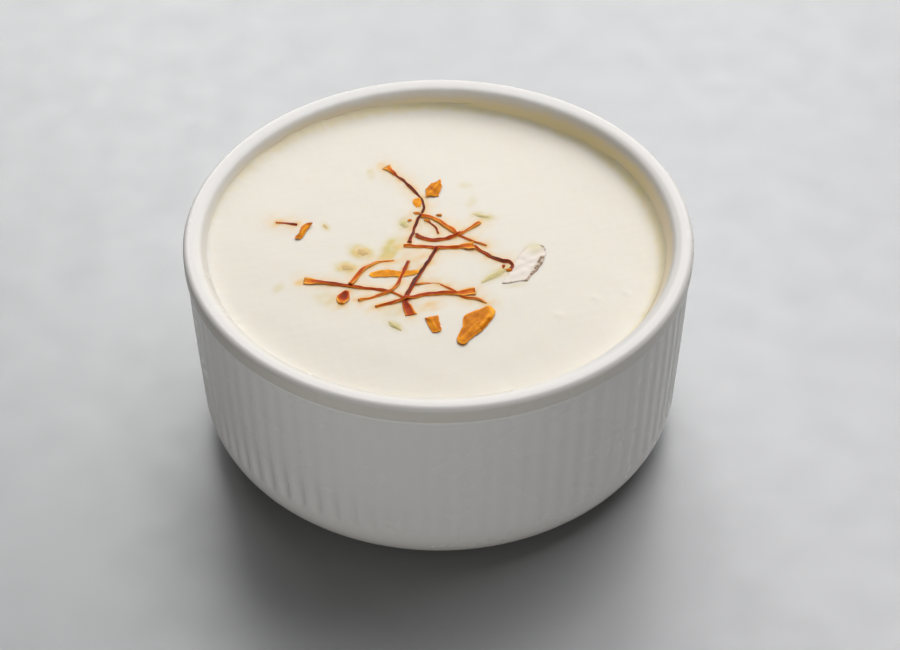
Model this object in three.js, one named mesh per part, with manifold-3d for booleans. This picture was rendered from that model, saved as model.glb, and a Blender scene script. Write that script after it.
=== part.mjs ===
// Semolina pudding set in a fluted porcelain ramekin, with saffron threads, petal flakes
// and an almond flake on top. Millimetres, +Z up, -Y is the front.
// The origin is the centre of the foot, on the surface that the ramekin stands on.
import * as THREE from "three";
import { mergeVertices } from "three/addons/utils/BufferGeometryUtils.js";
import Module from "manifold-3d";

// Ramekin. Depths are measured down from the top of the lip.
const HEIGHT = 40.5;
const RIM_RADIUS = 45;
const LIP_ROUNDING = 1.6;
const LIP_INNER_TURN = 133;
const BAND_DEPTH = 3.3;
const BAND_STEP = 0.45;
const BODY_RADIUS = 44.5;
const BODY_TAPER = 0.01275;
const BODY_TAPER_POWER = 1.35;
const HEEL_DEPTH = 32.3;
const FOOT_RADIUS = 35.2;
const FOOT_WIDTH = 3.6;
const FOOT_RECESS = 0.8;
const WALL_RADIUS = 39.4;
const WALL_DRAFT = 0.05;
const FLARE_WIDTH = 3.3;
const FLARE_DEPTH = 2.4;
const SHOULDER_DEPTH = 5.2;
const FLOOR_DEPTH = 36;
const INNER_HEEL = 7;

// Flutes: shallow scooped channels with narrow lands between them.
const FLUTES = 80;
const FLUTE_PHASE = 0.65;
const FLUTE_RELIEF = 0.5;
const FLUTE_TOP = 4.5;
const FLUTE_BOTTOM = 32.3;
const FLUTE_TIP = 2.2;
const LAND_SHARE = 1 / 3;
const FLUTE_SAMPLES = [1 / 6, 0.38, 0.62, 5 / 6];

// Pudding. It stands a little higher at the left, and creeps up the wall at its edge.
const GAP = 0.3;
const LEVEL_DEPTH = 3.7;
const LEVEL_TILT = 0.0325;
const MENISCUS_RISE = 0.35;
const MENISCUS_WIDTH = 1.4;
const SWELL = 0.08;

// Saffron threads: the route of each on the pudding, its half width at the start, the middle and
// the end.
const THREAD_SIDES = 5;
const THREADS = [
  { route: [[-8.9, 22.3], [-3.1, 14.5], [-2.7, 11.1], [-5.2, 1.2]], half: [0.6, 0.4, 0.5] },
  { route: [[-3.3, 8.8], [0, 7.9], [3.3, 4.1], [8.4, 1.3]], half: [0.4, 0.45, 0.3] },
  { route: [[-3.6, 3.4], [-0.1, 2.7], [3.7, 4.1], [7.1, 7.5]], half: [0.45, 0.5, 0.4] },
  { route: [[-6, 0.8], [0, 0.8], [5.8, 0.9]], half: [0.4, 0.45, 0.7] },
  { route: [[5.4, 1.2], [9.1, -1.7], [12.7, -3.7]], half: [0.45, 0.45, 0.9] },
  { route: [[-0.5, 0.5], [-4, -8.8], [-5.5, -12.5], [-4.8, -17.3]], half: [0.4, 0.5, 0.95] },
  { route: [[-23.1, -8.8], [-15.8, -9.9], [-9.5, -10.8], [-5.2, -12.8]], half: [0.85, 0.45, 0.4] },
  { route: [[-15.1, -9.8], [-13.2, -5.4], [-9.2, -2.9]], half: [0.6, 0.45, 0.3] },
  { route: [[-5.5, -3.6], [-7.1, -9.2], [-8.3, -10.9], [-13.5, -13.5]], half: [0.4, 0.4, 0.35] },
  { route: [[-10.5, -14.9], [-5.9, -12.8], [0.6, -11.2], [8.2, -12]], half: [0.35, 0.45, 0.75] },
  { route: [[-4.2, -9.2], [-0.1, -8.8], [3.2, -11.3], [7.1, -11.7]], half: [0.3, 0.4, 0.45] },
];

// Flakes: centre, length, width, heading in degrees, shape and thickness of each.
const FLAKES = [
  { name: "almond_flake", at: [15.3, -3.9], size: [14.5, 5.6], heading: 61, point: 0.75, bow: 0.9 },
  { name: "petal_flake_large", at: [6.3, -19.8], size: [11.6, 4.3], heading: 53, point: 1.15, bow: 0.5 },
  { name: "petal_flake_leaf", at: [-0.8, 16.3], size: [5.3, 2.7], heading: 62, point: 1.1, bow: 0 },
  { name: "petal_flake_short", at: [-1.1, -19.9], size: [4.4, 2.9], heading: 112, point: 0.55, bow: 0 },
  { name: "petal_flake_twisted", at: [-24.1, 4.1], size: [5.4, 2], heading: 52, point: 1.2, bow: 0.3 },
];
const FLAKE_POINTS = 12;
const FLAKE_THICKNESS = 0.8;
const FLAKE_DISH = 0.35;

const PORCELAIN = { color: 0xf1efeb, roughness: 0.18, metalness: 0 };
const PUDDING_CREAM = { color: 0xf0ead8, roughness: 0.45, metalness: 0 };
const SAFFRON_RED = { color: 0x8c2412, roughness: 0.6, metalness: 0 };
const PETAL_ORANGE = { color: 0xc9761c, roughness: 0.6, metalness: 0 };
const ALMOND_WHITE = { color: 0xefe6d4, roughness: 0.55, metalness: 0 };

const turn = (degrees) => THREE.MathUtils.degToRad(degrees);

// ---- Surfaces of revolution and tubes, as rings of points joined from pole to pole ----

// Two rings become one strip. Where one has several times the points of the other, each of the
// other's edges takes that many.
function strip(ringA, ringB, faces) {
  const fine = ringA.length >= ringB.length ? ringA : ringB;
  const coarse = fine === ringA ? ringB : ringA;
  const flip = fine === ringB;
  const share = fine.length / coarse.length;
  const add = (a, b, c) => faces.push(flip ? [a, c, b] : [a, b, c]);
  for (let j = 0; j < coarse.length; j++) {
    const near = coarse[j];
    const next = coarse[(j + 1) % coarse.length];
    const middle = fine[j * share + Math.floor(share / 2)] ?? fine[0];
    for (let k = 0; k < share; k++) {
      const a = fine[j * share + k];
      const b = fine[(j * share + k + 1) % fine.length];
      add(a, b, k < share / 2 ? near : next);
    }
    if (share === 1) {
      add(fine[(j + 1) % fine.length], next, near);
    } else {
      add(middle, next, near);
    }
  }
}

// A closed skin from rings listed from the first pole to the last, each ring running
// anticlockwise as seen from the last pole.
function skin(firstPole, rings, lastPole) {
  const faces = [];
  const first = rings[0];
  const last = rings[rings.length - 1];
  first.forEach((p, i) => faces.push([firstPole, first[(i + 1) % first.length], p]));
  for (let i = 1; i < rings.length; i++) {
    strip(rings[i - 1], rings[i], faces);
  }
  last.forEach((p, i) => faces.push([lastPole, p, last[(i + 1) % last.length]]));
  const positions = new Float32Array(faces.flat().flatMap((p) => [p.x, p.y, p.z]));
  const geometry = new THREE.BufferGeometry();
  geometry.setAttribute("position", new THREE.BufferAttribute(positions, 3));
  geometry.computeVertexNormals();
  return geometry;
}

// A level ring of points round the axis, starting at the middle of a land between two flutes.
function circle(radius, z, count) {
  return Array.from({ length: count }, (_, i) => {
    const angle = turn(FLUTE_PHASE) + (2 * Math.PI * i) / count;
    return new THREE.Vector3(radius * Math.cos(angle), radius * Math.sin(angle), z);
  });
}

// ---- Ramekin ----

// Outer radius of the body under the band: it narrows faster towards the heel.
function bodyRadius(depth) {
  const below = Math.max(depth - BAND_DEPTH, 0);
  return BODY_RADIUS - BODY_TAPER * below ** BODY_TAPER_POWER;
}

// Inner radius of the wall: a drafted wall with a soft flare that rolls into the lip.
function wallRadius(depth) {
  return WALL_RADIUS - WALL_DRAFT * depth + FLARE_WIDTH * Math.exp(-depth / FLARE_DEPTH);
}

// A flute's relief as a share of its full relief, across one pitch: a circular scoop between lands.
function fluteAcross(share) {
  const half = (1 - LAND_SHARE) / 2;
  const off = Math.abs(share - 0.5) / half;
  return Math.max(0, 1 - off * off);
}

// The same share along the flute: a quarter ellipse at each end, full between them.
function fluteAlong(depth) {
  const end = Math.min(depth - FLUTE_TOP, FLUTE_BOTTOM - depth) / FLUTE_TIP;
  const within = THREE.MathUtils.clamp(end, 0, 1);
  return Math.sqrt(1 - (1 - within) ** 2);
}

// A ring through the fluted part of the body.
function flutedRing(depth) {
  const pitch = (2 * Math.PI) / FLUTES;
  const points = [];
  for (let flute = 0; flute < FLUTES; flute++) {
    for (const share of FLUTE_SAMPLES) {
      const angle = turn(FLUTE_PHASE) + (flute + share) * pitch;
      const relief = FLUTE_RELIEF * fluteAlong(depth) * fluteAcross(share);
      const radius = bodyRadius(depth) - relief;
      const x = radius * Math.cos(angle);
      const y = radius * Math.sin(angle);
      points.push(new THREE.Vector3(x, y, HEIGHT - depth));
    }
  }
  return points;
}

// Rings of the foot and the rounded heel, from the recess outwards and up.
function heelRings() {
  const heelTop = bodyRadius(HEEL_DEPTH);
  const rings = [
    circle(FOOT_RADIUS - FOOT_WIDTH - FOOT_RECESS, FOOT_RECESS, FLUTES / 2),
    circle(FOOT_RADIUS - FOOT_WIDTH, 0, FLUTES / 2),
    circle(FOOT_RADIUS, 0, FLUTES),
  ];
  for (const angle of [68, 45, 22]) {
    const radius = FOOT_RADIUS + (heelTop - FOOT_RADIUS) * Math.cos(turn(angle));
    const depth = HEEL_DEPTH + (HEIGHT - HEEL_DEPTH) * Math.sin(turn(angle));
    rings.push(circle(radius, HEIGHT - depth, FLUTES));
  }
  return rings;
}

// Rings of the plain band, the rounded lip and the flare inside it, from outside to inside.
function lipRings() {
  const crest = RIM_RADIUS - LIP_ROUNDING;
  const rings = [
    circle(bodyRadius(BAND_DEPTH + BAND_STEP), HEIGHT - BAND_DEPTH - BAND_STEP, FLUTES),
    circle(RIM_RADIUS, HEIGHT - BAND_DEPTH, FLUTES),
  ];
  for (const angle of [0, 38, 66, 94, LIP_INNER_TURN]) {
    const radius = crest + LIP_ROUNDING * Math.cos(turn(angle));
    const z = HEIGHT - LIP_ROUNDING + LIP_ROUNDING * Math.sin(turn(angle));
    rings.push(circle(radius, z, FLUTES));
  }
  for (const depth of [1.3, 2.8, SHOULDER_DEPTH]) {
    rings.push(circle(wallRadius(depth), HEIGHT - depth, FLUTES));
  }
  return rings;
}

// Depth and radius down the inside, from below the flare to the floor, kept off by the given gap.
function insideProfile(gap) {
  const start = FLOOR_DEPTH - INNER_HEEL;
  const straight = [8, start].map((depth) => [depth, wallRadius(depth) - gap]);
  const turnIn = [30, 60, 90].map((angle) => {
    const reach = INNER_HEEL - gap;
    const radius = wallRadius(start) - INNER_HEEL + reach * Math.cos(turn(angle));
    return [start + reach * Math.sin(turn(angle)), radius];
  });
  return [...straight, ...turnIn];
}

function insideRings(gap) {
  return insideProfile(gap).map(([depth, r]) => circle(r, HEIGHT - depth, FLUTES / 2));
}

function ramekin() {
  const tip = FLUTE_TIP / 2;
  const ends = [FLUTE_BOTTOM, FLUTE_BOTTOM - tip, FLUTE_BOTTOM - 2 * tip];
  const starts = [FLUTE_TOP + 2 * tip, FLUTE_TOP + tip, FLUTE_TOP];
  const rings = [
    ...heelRings(),
    ...[...ends, ...starts].map(flutedRing),
    ...lipRings(),
    ...insideRings(0),
  ];
  const under = new THREE.Vector3(0, 0, FOOT_RECESS);
  const floor = new THREE.Vector3(0, 0, HEIGHT - FLOOR_DEPTH);
  return skin(under, rings, floor);
}

// ---- Pudding ----

// Depth of the pudding's open surface below the lip, before its edge creeps up the wall.
function levelDepth(x, y) {
  const swell = SWELL * Math.sin(x / 7 + 0.4) * Math.cos(y / 9 - 0.6);
  return LEVEL_DEPTH + LEVEL_TILT * x - swell;
}

function surfaceZ(x, y) {
  return HEIGHT - levelDepth(x, y);
}

// Radius where the pudding meets the wall, in the direction of an angle.
function edgeRadius(angle) {
  const reach = wallRadius(LEVEL_DEPTH);
  const depth = levelDepth(reach * Math.cos(angle), reach * Math.sin(angle)) - MENISCUS_RISE;
  return wallRadius(depth) - GAP;
}

// One ring of the open surface, at a distance in from the edge.
function surfaceRing(inset) {
  const count = FLUTES / 2;
  return Array.from({ length: count }, (_, i) => {
    const angle = turn(FLUTE_PHASE) + (2 * Math.PI * i) / count;
    const radius = edgeRadius(angle) - inset;
    const x = radius * Math.cos(angle);
    const y = radius * Math.sin(angle);
    const creep = MENISCUS_RISE * Math.exp(-inset / MENISCUS_WIDTH);
    return new THREE.Vector3(x, y, surfaceZ(x, y) + creep);
  });
}

function pudding() {
  const shoulder = circle(wallRadius(SHOULDER_DEPTH) - GAP, HEIGHT - SHOULDER_DEPTH, FLUTES / 2);
  const side = [...insideRings(GAP).reverse(), shoulder];
  const top = [0, 1.5, 5, 14, 26].map(surfaceRing);
  const bottom = new THREE.Vector3(0, 0, HEIGHT - FLOOR_DEPTH + GAP);
  return skin(bottom, [...side, ...top], new THREE.Vector3(0, 0, surfaceZ(0, 0)));
}

// ---- Garnish ----

// A thread laid on the pudding: a five-sided tube along a smooth curve, with its own width along
// it.
function thread({ route, half }) {
  const curve = new THREE.CatmullRomCurve3(route.map(([x, y]) => new THREE.Vector3(x, y, 0)));
  const steps = 2 * (route.length - 1);
  const up = new THREE.Vector3(0, 0, 1);
  const lie = (point, radius) => point.setZ(surfaceZ(point.x, point.y) + GAP + radius);
  const rings = Array.from({ length: steps + 1 }, (_, i) => {
    const t = i / steps;
    const radius = t < 0.5
      ? THREE.MathUtils.lerp(half[0], half[1], 2 * t)
      : THREE.MathUtils.lerp(half[1], half[2], 2 * t - 1);
    const centre = lie(curve.getPoint(t), Math.min(radius, 0.5));
    const side = new THREE.Vector3().crossVectors(up, curve.getTangent(t)).normalize();
    return Array.from({ length: THREAD_SIDES }, (_, k) => {
      const angle = (2 * Math.PI * k) / THREAD_SIDES;
      const across = side.clone().multiplyScalar(radius * Math.cos(angle));
      return centre.clone().add(across).addScaledVector(up, 0.45 * Math.sin(angle));
    });
  });
  const middle = (ring) => ring.reduce((sum, p) => sum.add(p), new THREE.Vector3());
  const firstPole = middle(rings[0]).divideScalar(THREAD_SIDES);
  const lastPole = middle(rings[steps]).divideScalar(THREAD_SIDES);
  return skin(firstPole, rings, lastPole);
}

// An oval flake with a more or less pointed outline, dished in the middle and bowed to one side.
function flake({ at, size, heading, point, bow }) {
  const [length, width] = size;
  const lay = (share, lift) => Array.from({ length: FLAKE_POINTS }, (_, i) => {
    const angle = (2 * Math.PI * i) / FLAKE_POINTS;
    const along = Math.cos(angle);
    const across = Math.sign(Math.sin(angle)) * Math.abs(Math.sin(angle)) ** point;
    const u = (share * length * along) / 2;
    const v = (share * width * across) / 2 + bow * (along * along - 0.5);
    return place(u, v, lift);
  });
  const place = (u, v, lift) => {
    const x = at[0] + u * Math.cos(turn(heading)) - v * Math.sin(turn(heading));
    const y = at[1] + u * Math.sin(turn(heading)) + v * Math.cos(turn(heading));
    return new THREE.Vector3(x, y, surfaceZ(x, y) + GAP + lift);
  };
  const thick = FLAKE_THICKNESS;
  const rings = [lay(0.6, 0), lay(1, FLAKE_DISH), lay(0.97, thick + FLAKE_DISH), lay(0.6, thick)];
  return skin(place(0, -bow / 2, 0), rings, place(0, -bow / 2, thick));
}

// ---- Joining ----

const wasm = await Module();
wasm.setup();

function toSolid(geometry) {
  const bare = geometry.clone();
  bare.deleteAttribute("normal");
  const merged = mergeVertices(bare, 1e-4);
  const mesh = new wasm.Mesh({
    numProp: 3,
    vertProperties: merged.attributes.position.array,
    triVerts: new Uint32Array(merged.index.array),
  });
  return new wasm.Manifold(mesh);
}

function toGeometry(solid) {
  const mesh = solid.getMesh();
  const geometry = new THREE.BufferGeometry();
  geometry.setAttribute("position", new THREE.BufferAttribute(mesh.vertProperties, 3));
  geometry.setIndex(new THREE.BufferAttribute(mesh.triVerts, 1));
  geometry.computeVertexNormals();
  return geometry;
}

// The crossing threads hold together as one tangle.
function saffronTangle() {
  const solids = THREADS.map((each) => toSolid(thread(each)));
  return toGeometry(solids.reduce((whole, next) => whole.add(next)));
}

function piece(name, geometry, finish) {
  const mesh = new THREE.Mesh(geometry, new THREE.MeshStandardMaterial(finish));
  mesh.name = name;
  return mesh;
}

const group = new THREE.Group();
group.add(piece("ramekin", ramekin(), PORCELAIN));
group.add(piece("pudding", pudding(), PUDDING_CREAM));
group.add(piece("saffron_threads", saffronTangle(), SAFFRON_RED));
for (const each of FLAKES) {
  const finish = each.name.startsWith("almond") ? ALMOND_WHITE : PETAL_ORANGE;
  group.add(piece(each.name, flake(each), finish));
}

export default group;
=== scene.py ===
"""One helping of semolina pudding in a fluted porcelain ramekin, with saffron threads, petal
flakes, an almond flake and half-sunk pistachio slivers on top.

Shapes are worked out in millimetres and made in metres. +Z is up and -Y is the front. The origin
is the centre of the foot, on the surface that the ramekin stands on. Depths are measured down
from the top of the lip."""

import math
from collections import namedtuple

import bpy
import numpy as np
from mathutils import Matrix, Vector


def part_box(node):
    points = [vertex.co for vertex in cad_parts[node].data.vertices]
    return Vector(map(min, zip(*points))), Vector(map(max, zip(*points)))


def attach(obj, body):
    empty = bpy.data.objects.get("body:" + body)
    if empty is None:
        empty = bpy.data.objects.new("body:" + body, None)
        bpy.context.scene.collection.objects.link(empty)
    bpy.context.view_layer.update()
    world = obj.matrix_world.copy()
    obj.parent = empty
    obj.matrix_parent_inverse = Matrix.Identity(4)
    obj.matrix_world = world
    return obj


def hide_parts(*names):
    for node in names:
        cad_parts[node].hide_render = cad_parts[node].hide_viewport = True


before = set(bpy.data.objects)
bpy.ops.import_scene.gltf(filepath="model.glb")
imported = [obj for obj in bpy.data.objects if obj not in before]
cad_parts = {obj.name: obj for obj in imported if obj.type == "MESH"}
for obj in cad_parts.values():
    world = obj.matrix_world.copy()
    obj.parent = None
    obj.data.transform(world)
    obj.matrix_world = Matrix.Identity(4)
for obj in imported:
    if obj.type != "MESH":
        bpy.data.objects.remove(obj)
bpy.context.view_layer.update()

MM = 0.001

# Ramekin.
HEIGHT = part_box("ramekin")[1].z / MM
RIM_RADIUS = 44.88
RIM_ROUNDING = 0.98
# Radius and depth of the lip from its outer rounding in to the wall.
RIM_CROWN = ((43.5, 0.015), (43, 0.05), (42.5, 0.1), (42.1, 0.17), (41.8, 0.28), (41.55, 0.46),
             (41.35, 0.75), (41.15, 1.15))
BAND_DEPTH = 3.0
# Under the band, how far in from the body's own radius a narrow groove goes at each depth, and
# the ledge below it stands out: the flutes start under the ledge.
BAND_FOOT = ((4.3, 0), (4.1, -0.03), (3.95, -0.05), (3.82, -0.04), (3.7, 0.01), (3.58, 0.05),
             (3.45, 0.08), (3.32, 0.05), (3.22, -0.06), (3.12, -0.24))
BODY_RADIUS = 44.5
BODY_TAPER = 0.01275
BODY_TAPER_POWER = 1.35
HEEL_DEPTH = 32.3
FOOT_RADIUS = 35.2
FOOT_WIDTH = 3.6
FOOT_RECESS = 0.8
WALL_RADIUS = 39.4
WALL_DRAFT = 0.05
FLARE_WIDTH = 3.3
FLARE_DEPTH = 2.4
FLOOR_DEPTH = 36
INNER_HEEL = 7

# Flutes: shallow scooped channels with narrow lands between them.
FLUTES = 80
FLUTE_PHASE = math.radians(-0.45)
FLUTE_RELIEF = 0.24
FLUTE_TOP = 3.9
FLUTE_BOTTOM = 32.3
FLUTE_TIP = 1.6
FLUTE_SOFTNESS = 0.35
LAND_SHARE = 1 / 3
FLUTE_SHARES = (0, 0.1, 0.155, 0.2, 0.27, 0.38, 0.5, 0.62, 0.73, 0.8, 0.845, 0.9)
# How much of the flutes' relief the glaze leaves: direction, share over most of the height, and
# share near the lower tips.
RELIEF_LEFT = np.array((
    (0, 1, 1.05), (90, 1, 1), (160, 0.75, 0.9), (190, 0.5, 0.9), (215, 0.38, 1.35),
    (240, 0.26, 1.5), (256, 0.22, 1.1), (270, 0.22, 0.4), (288, 0.25, 0.3),
    (300, 0.45, 0.5), (308, 0.85, 0.85), (318, 1.1, 1.15), (335, 1.1, 1.1),
)).T
# One share eases into the other from this depth, over this much more.
TIPS_FROM = 23
TIPS_WITHIN = 6

# Pudding: it stands a little higher at the left, and creeps up the wall at its edge.
LEVEL_DEPTH = 3.7
LEVEL_TILT = 0.0325
SWELL = 0.08
PUDDING_GAP = 0.3
SCALLOPS = 110
SLOPE_TAIL = 1.8
# Its rings are set out on a nominal radius: close together over the slope at the edge, and evenly
# over the rest.
PUDDING_RADIUS = 39.8
PUDDING_COLUMNS = 720
SLOPE_WIDTH = 5
SLOPE_RINGS = 27
FIELD_RINGS = 104

# How the pudding's edge meets the wall, by direction: how far it climbs, how wide its slope is,
# how wide its skin is thin enough for the wall to stain it, and how strongly. That stain is partly
# painted shade of the wall.
EDGE = np.array((
    (0, 1.9, 0.85, 1.7, 1), (15, 1.9, 0.8, 1.6, 1), (30, 1.85, 0.65, 1.3, 1),
    (42, 1.8, 0.5, 1, 1), (60, 1.55, 0.45, 0.9, 1), (80, 1.3, 0.5, 1, 1),
    (92, 1.15, 0.65, 1.2, 1), (103, 1, 0.8, 1.5, 1), (120, 0.85, 1.2, 2, 0.95),
    (150, 0.7, 1, 1.6, 0.7), (180, 0.45, 0.8, 1.2, 0.2), (210, 0.3, 0.7, 0.8, 0.05),
    (240, 0.3, 0.7, 0.8, 0), (285, 0.4, 0.9, 0.8, 0), (310, 0.6, 0.9, 0.9, 0.12),
    (335, 1.1, 0.95, 1.3, 0.7),
)).T

# Small lumps under the pudding's skin: x, y, how far each spreads and how high it stands.
LUMPS = (
    (20.6, -17.3, 0.8, 0.1), (27.2, -12.8, 0.8, 0.09), (32.7, -11.4, 0.7, 0.08),
    (-3.6, -3, 3.2, 0.06), (-13.7, -1.5, 1.6, 0.08), (-16.1, -5.8, 1.4, 0.07),
    (-8.2, -0.2, 1.6, 0.07),
)

# Saffron threads: the route of each on the pudding, and its half width and its tone at shares of
# its length. Tones run from 0, dark maroon, to 1, bright orange.
THREADS = (
    (((-9.5, 22.4), (-8.2, 20.9), (-6, 18), (-3.6, 14.5), (-2.7, 12.2), (-2.7, 10.2), (-3.6, 7.7),
      (-4.4, 4.5), (-5.2, 1.2)),
     ((0, 0.8), (0.06, 0.52), (0.13, 0.3), (0.9, 0.29), (1, 0.4)),
     ((0, 1.1), (0.06, 0.75), (0.15, 0.05), (0.6, -0.1), (1, 0.1))),
    (((-3.1, 8.4), (-1.2, 8.1), (0.3, 7), (1.8, 5.4), (3.4, 3.6), (6, 1.9), (8.5, 0.6)),
     ((0, 0.46), (0.1, 0.5), (0.5, 0.54), (0.62, 0.3), (1, 0.25)),
     ((0, 0.7), (0.2, 0.85), (0.5, 0.75), (0.6, 0.5), (1, 0.55))),
    (((-3.9, 3.5), (-3.3, 2.7), (-2, 2.1), (-0.2, 1.9), (1.8, 2.5), (3.7, 3.5), (5.7, 5.2),
      (7.4, 6.9)),
     ((0, 0.36), (0.1, 0.44), (0.6, 0.38), (0.9, 0.38), (1, 0.46)),
     ((0, 0.2), (0.15, 0.3), (0.5, 0.4), (0.7, 0.6), (1, 0.7))),
    (((-1.6, 7), (-1, 6.1), (-0.4, 5.1), (0, 3.8)),
     ((0, 0.24), (1, 0.18)),
     ((0, 0.1), (0.7, 0.1), (1, 0.5))),
    (((-6.2, 0.2), (-3, 0.1), (0, -0.1), (3, 0), (6.2, 0.4)),
     ((0, 0.4), (0.1, 0.4), (0.8, 0.42), (0.9, 0.78), (1, 0.9)),
     ((0, 0.8), (0.1, 0.6), (0.4, 0.4), (0.75, 0.6), (1, 0.9))),
    (((6.3, 0.3), (7.4, -0.8), (9.1, -2.2), (11.2, -3.5), (12.4, -3.7), (12.9, -4.6), (12.4, -5.6),
      (11.5, -5.3), (11.5, -4.4)),
     ((0, 0.26), (0.2, 0.38), (0.55, 0.44), (0.7, 0.36), (1, 0.32)),
     ((0, 0.45), (0.2, 0.25), (0.5, 0), (0.8, 0.05), (1, 0.35))),
    (((-0.2, -0.2), (-1.2, -2.3), (-2.3, -5), (-3.4, -7.3), (-4.3, -9.5), (-5.1, -11.6),
      (-5.7, -13.7), (-5.6, -15.5), (-4.8, -18)),
     ((0, 0.32), (0.45, 0.4), (0.5, 0.5), (0.6, 0.42), (0.8, 0.52), (1, 1.02)),
     ((0, 0.2), (0.1, 0), (0.5, -0.1), (0.6, 0.05), (0.8, 0.2), (1, 0.55))),
    (((-23.4, -9.6), (-22, -9.7), (-19.4, -10.1), (-15.8, -10.7), (-12.4, -11.3), (-9.5, -11.7),
      (-7.6, -12.4), (-5.6, -13.8)),
     ((0, 1), (0.05, 0.9), (0.13, 0.58), (0.2, 0.42), (1, 0.3)),
     ((0, 1.05), (0.05, 0.9), (0.12, 0.5), (0.25, 0.25), (0.6, 0.4), (1, 0.45))),
    (((-15.4, -10.5), (-14.3, -8.3), (-13.1, -6.1), (-11.4, -4.6), (-9.9, -4.1), (-7.9, -3.7)),
     ((0, 0.5), (0.4, 0.46), (0.7, 0.34), (1, 0.22)),
     ((0, 0.6), (0.5, 0.7), (0.8, 0.85), (1, 0.95))),
    (((-5.3, -4), (-6, -6.1), (-6.9, -9.2), (-7.7, -11), (-9.1, -12.4), (-11.6, -13.6),
      (-13.9, -14.5)),
     ((0, 0.38), (0.5, 0.3), (1, 0.32)),
     ((0, 0.25), (0.3, 0.45), (0.6, 0.6), (1, 0.95))),
    (((-10.9, -16), (-8.4, -15.1), (-5.9, -14), (-3.6, -13), (-1.2, -12.4), (1.5, -12.1),
      (4.2, -11.9), (6.3, -11.5)),
     ((0, 0.32), (0.3, 0.38), (0.74, 0.46), (0.86, 0.72), (0.95, 0.98), (1, 0.85)),
     ((0, 0.8), (0.15, 0.45), (0.4, 0.4), (0.72, 0.5), (0.86, 0.7), (1, 0.85))),
    (((-4.2, -10), (-2.4, -9.6), (-0.4, -9.7), (1.3, -10.5), (3, -12), (4.6, -13.2),
      (6.6, -13.5), (8.3, -14.5)),
     ((0, 0.24), (0.6, 0.24), (0.8, 0.3), (1, 0.18)),
     ((0, 0.6), (0.3, 0.75), (0.6, 0.5), (0.8, 0.7), (1, 0.98))),
    (((-28.9, 6), (-27, 5.9), (-25.1, 5.5)),
     ((0, 0.24), (0.5, 0.28), (1, 0.26)),
     ((0, 0.5), (0.5, 0.3), (1, 0.05))),
    (((-15.9, -12.2), (-16.3, -13.3), (-16.6, -14.3), (-16.9, -15.4)),
     ((0, 0.45), (0.2, 0.85), (0.5, 1.1), (0.8, 0.95), (1, 0.5)),
     ((0, 0.5), (0.3, 0.25), (0.55, 0.3), (0.75, 0.9), (1, 1.1))),
)
THREAD_SIDES = 18
THREAD_STEP = 0.2
THREAD_SPREAD = 0.96
THREAD_HEIGHT = 0.21
THREAD_SINK = 0.16
CROSSING_RISE = 0.24
CROSSING_REACH = 0.8

# Flat flakes. Each has its outline, anticlockwise, how much it arches about its long axis and which
# way that points, and folds: from x, y to x, y, how wide and how high each runs, and how much
# lighter it is. On the petals that lightness is partly painted light on ridges and painted shade in
# creases, besides small dark spots of their own. Lift is how far a flake stands off the pudding.
PETAL_THICK = 0.11
PETAL_LIFT = 0.02
PETALS = {
    "large": (
        ((4.2, -17.9), (4, -19.4), (3.9, -20.9), (3.5, -22.4), (3, -23.7), (3.05, -24.8),
         (3.8, -25.4), (4.6, -25), (5.5, -23.5), (6.9, -22.2), (8, -20.7), (8.6, -19.4),
         (9.5, -18.2), (9.8, -16.9), (9.2, -15.9), (8.6, -15.3), (7.7, -15.9), (6.1, -16.7),
         (4.9, -17.3)),
        0.25, 58,
        ((3.6, -24.2, 6.8, -19.6, 0.28, 0.12, 0.28), (6.6, -21.6, 8.6, -18.4, 0.3, 0.2, 0.3),
         (7.3, -21.4, 9.3, -18.2, 0.22, -0.16, -0.5), (9, -17.9, 9.2, -16.8, 0.7, 0.12, 0.5),
         (4.2, -22.3, 5.9, -23.6, 0.5, -0.1, -0.3), (4.4, -18.3, 4.4, -18.6, 0.22, 0, -0.7),
         (8.4, -18.9, 8.4, -19, 0.14, 0, -0.7), (5.6, -20.4, 5.7, -20.4, 0.12, 0, -0.7),
         (7, -20.9, 7, -21, 0.14, 0, -0.6)),
    ),
    "leaf": (
        ((-2.33, 15.9), (-2.09, 15), (-2.33, 13.77), (-1.4, 13.99), (-0.01, 13.99), (0.34, 15.23),
         (0.75, 16.79), (0.52, 18.92), (-0.35, 18.03), (-1.4, 17.58)),
        0.2, 62,
        ((-1.6, 14.4, 0.2, 17.6, 0.3, 0.12, 0.4), (-1.3, 16.4, -0.8, 15.4, 0.3, -0.08, -0.4)),
    ),
    "short": (
        ((-2.5, -18.8), (-2.1, -19.9), (-1.7, -21.1), (-1.05, -22.5), (-0.2, -22.3), (0.5, -21.9),
         (0.2, -20.3), (-0.05, -18.8), (-0.1, -17.8), (-1.2, -18.3)),
        0.15, 112,
        ((-1.4, -19, -0.5, -21.6, 0.3, 0.1, 0.25), (-0.5, -18.3, 0, -21.4, 0.25, -0.08, -0.3),
         (-2.2, -19, -1.8, -19.4, 0.3, 0, -0.5)),
    ),
    "twisted": (
        ((-24.65, 3.6), (-24.7, 2.7), (-25.3, 2.2), (-25.5, 1.6), (-24.9, 1.4), (-24.1, 1.8),
         (-23.7, 3), (-23, 4.7), (-22.3, 5.9), (-23.1, 5.95), (-23.9, 5.7), (-24.5, 4.8)),
        0.2, 60,
        ((-24.3, 2.6, -23.4, 4.9, 0.22, 0.13, 0.4), (-23.2, 5.5, -22.6, 5.8, 0.4, 0.1, -0.55),
         (-25.3, 1.2, -24.8, 2, 0.35, 0, -0.2)),
    ),
}
ALMOND_THICK = 0.14
ALMOND_LIFT = -0.06
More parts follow.
